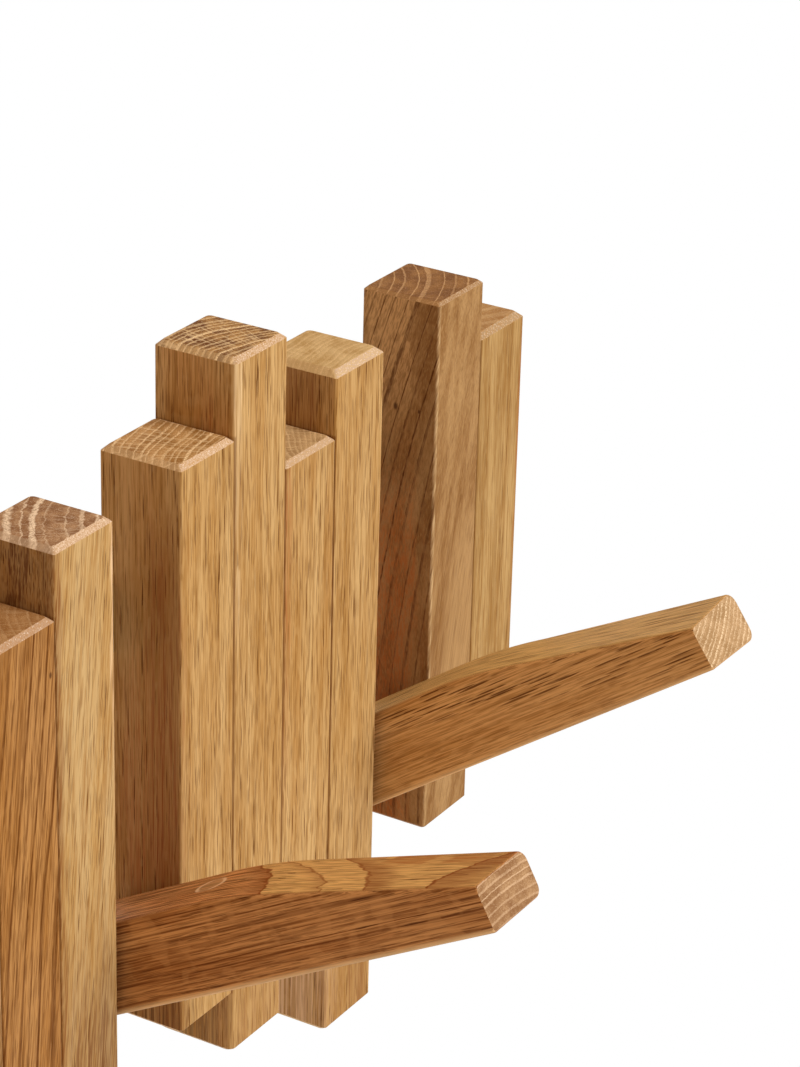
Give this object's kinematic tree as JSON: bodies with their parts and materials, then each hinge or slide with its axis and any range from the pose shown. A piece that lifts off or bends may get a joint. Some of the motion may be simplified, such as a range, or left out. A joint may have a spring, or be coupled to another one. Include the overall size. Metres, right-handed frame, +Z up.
{
  "type": "wall coat rack",
  "caption": "Wall coat rack: a row of upright square oak bars of staggered lengths, with flat tapered hooks that fold out from slots between the bars and stand flush when closed.",
  "frame": {"origin": "on the wall plane, at mid length, behind the upper rail where the rack is screwed to the wall", "axes": "+X along the row to the right as seen from the room, +Y into the wall, so -Y points into the room, +Z up"},
  "size_m": [0.52, 0.1379, 0.2325],
  "materials": {
    "bar_oak": "oiled solid oak",
    "hook_oak_red": "oiled solid oak, reddish",
    "hook_oak_olive": "oiled solid oak, olive brown",
    "rail_steel": "plain flat bar",
    "pin_steel": "turned, bright",
    "washer_steel": "plain",
    "screw_steel": "dark, countersunk"
  },
  "bodies": {
    "rack": {"bar_01": "bar_oak", "bar_02": "bar_oak", "bar_03": "bar_oak", "bar_04": "bar_oak", "bar_05": "bar_oak", "bar_06": "bar_oak", "bar_07": "bar_oak", "bar_08": "bar_oak", "bar_09": "bar_oak", "bar_10": "bar_oak", "bar_11": "bar_oak", "bar_12": "bar_oak", "bar_13": "bar_oak", "bar_14": "bar_oak", "bar_15": "bar_oak", "bar_16": "bar_oak", "upper_rail": "rail_steel", "lower_rail": "rail_steel", "hook_pin_1": "pin_steel", "hook_pin_2": "pin_steel", "hook_pin_3": "pin_steel", "hook_pin_4": "pin_steel", "washer_1_left": "washer_steel", "washer_1_right": "washer_steel", "washer_2_left": "washer_steel", "washer_2_right": "washer_steel", "washer_3_left": "washer_steel", "washer_3_right": "washer_steel", "washer_4_left": "washer_steel", "washer_4_right": "washer_steel", "upper_screw_1": "screw_steel", "upper_screw_2": "screw_steel", "upper_screw_3": "screw_steel", "upper_screw_4": "screw_steel", "upper_screw_5": "screw_steel", "upper_screw_6": "screw_steel", "upper_screw_7": "screw_steel", "upper_screw_8": "screw_steel", "lower_screw_1": "screw_steel", "lower_screw_2": "screw_steel", "lower_screw_3": "screw_steel", "lower_screw_4": "screw_steel", "lower_screw_5": "screw_steel", "lower_screw_6": "screw_steel", "lower_screw_7": "screw_steel", "lower_screw_8": "screw_steel"},
    "hook_arm_1": {"hook_1": "hook_oak_olive"},
    "hook_arm_2": {"hook_2": "hook_oak_red"},
    "hook_arm_3": {"hook_3": "hook_oak_red"},
    "hook_arm_4": {"hook_4": "hook_oak_olive"}
  },
  "joints": [
    {"name": "hook_1_fold", "type": "hinge", "parent": "rack", "child": "hook_arm_1", "pos_m": [-0.195, -0.016, -0.09341], "axis": [-1, 0, 0], "range_deg": [0, 58]},
    {"name": "hook_2_fold", "type": "hinge", "parent": "rack", "child": "hook_arm_2", "pos_m": [-0.065, -0.016, -0.09591], "axis": [-1, 0, 0], "range_deg": [0, 61]},
    {"name": "hook_3_fold", "type": "hinge", "parent": "rack", "child": "hook_arm_3", "pos_m": [0.065, -0.016, -0.09591], "axis": [-1, 0, 0], "range_deg": [0, 61]},
    {"name": "hook_4_fold", "type": "hinge", "parent": "rack", "child": "hook_arm_4", "pos_m": [0.195, -0.016, -0.09141], "axis": [-1, 0, 0], "range_deg": [0, 55]}
  ]
}
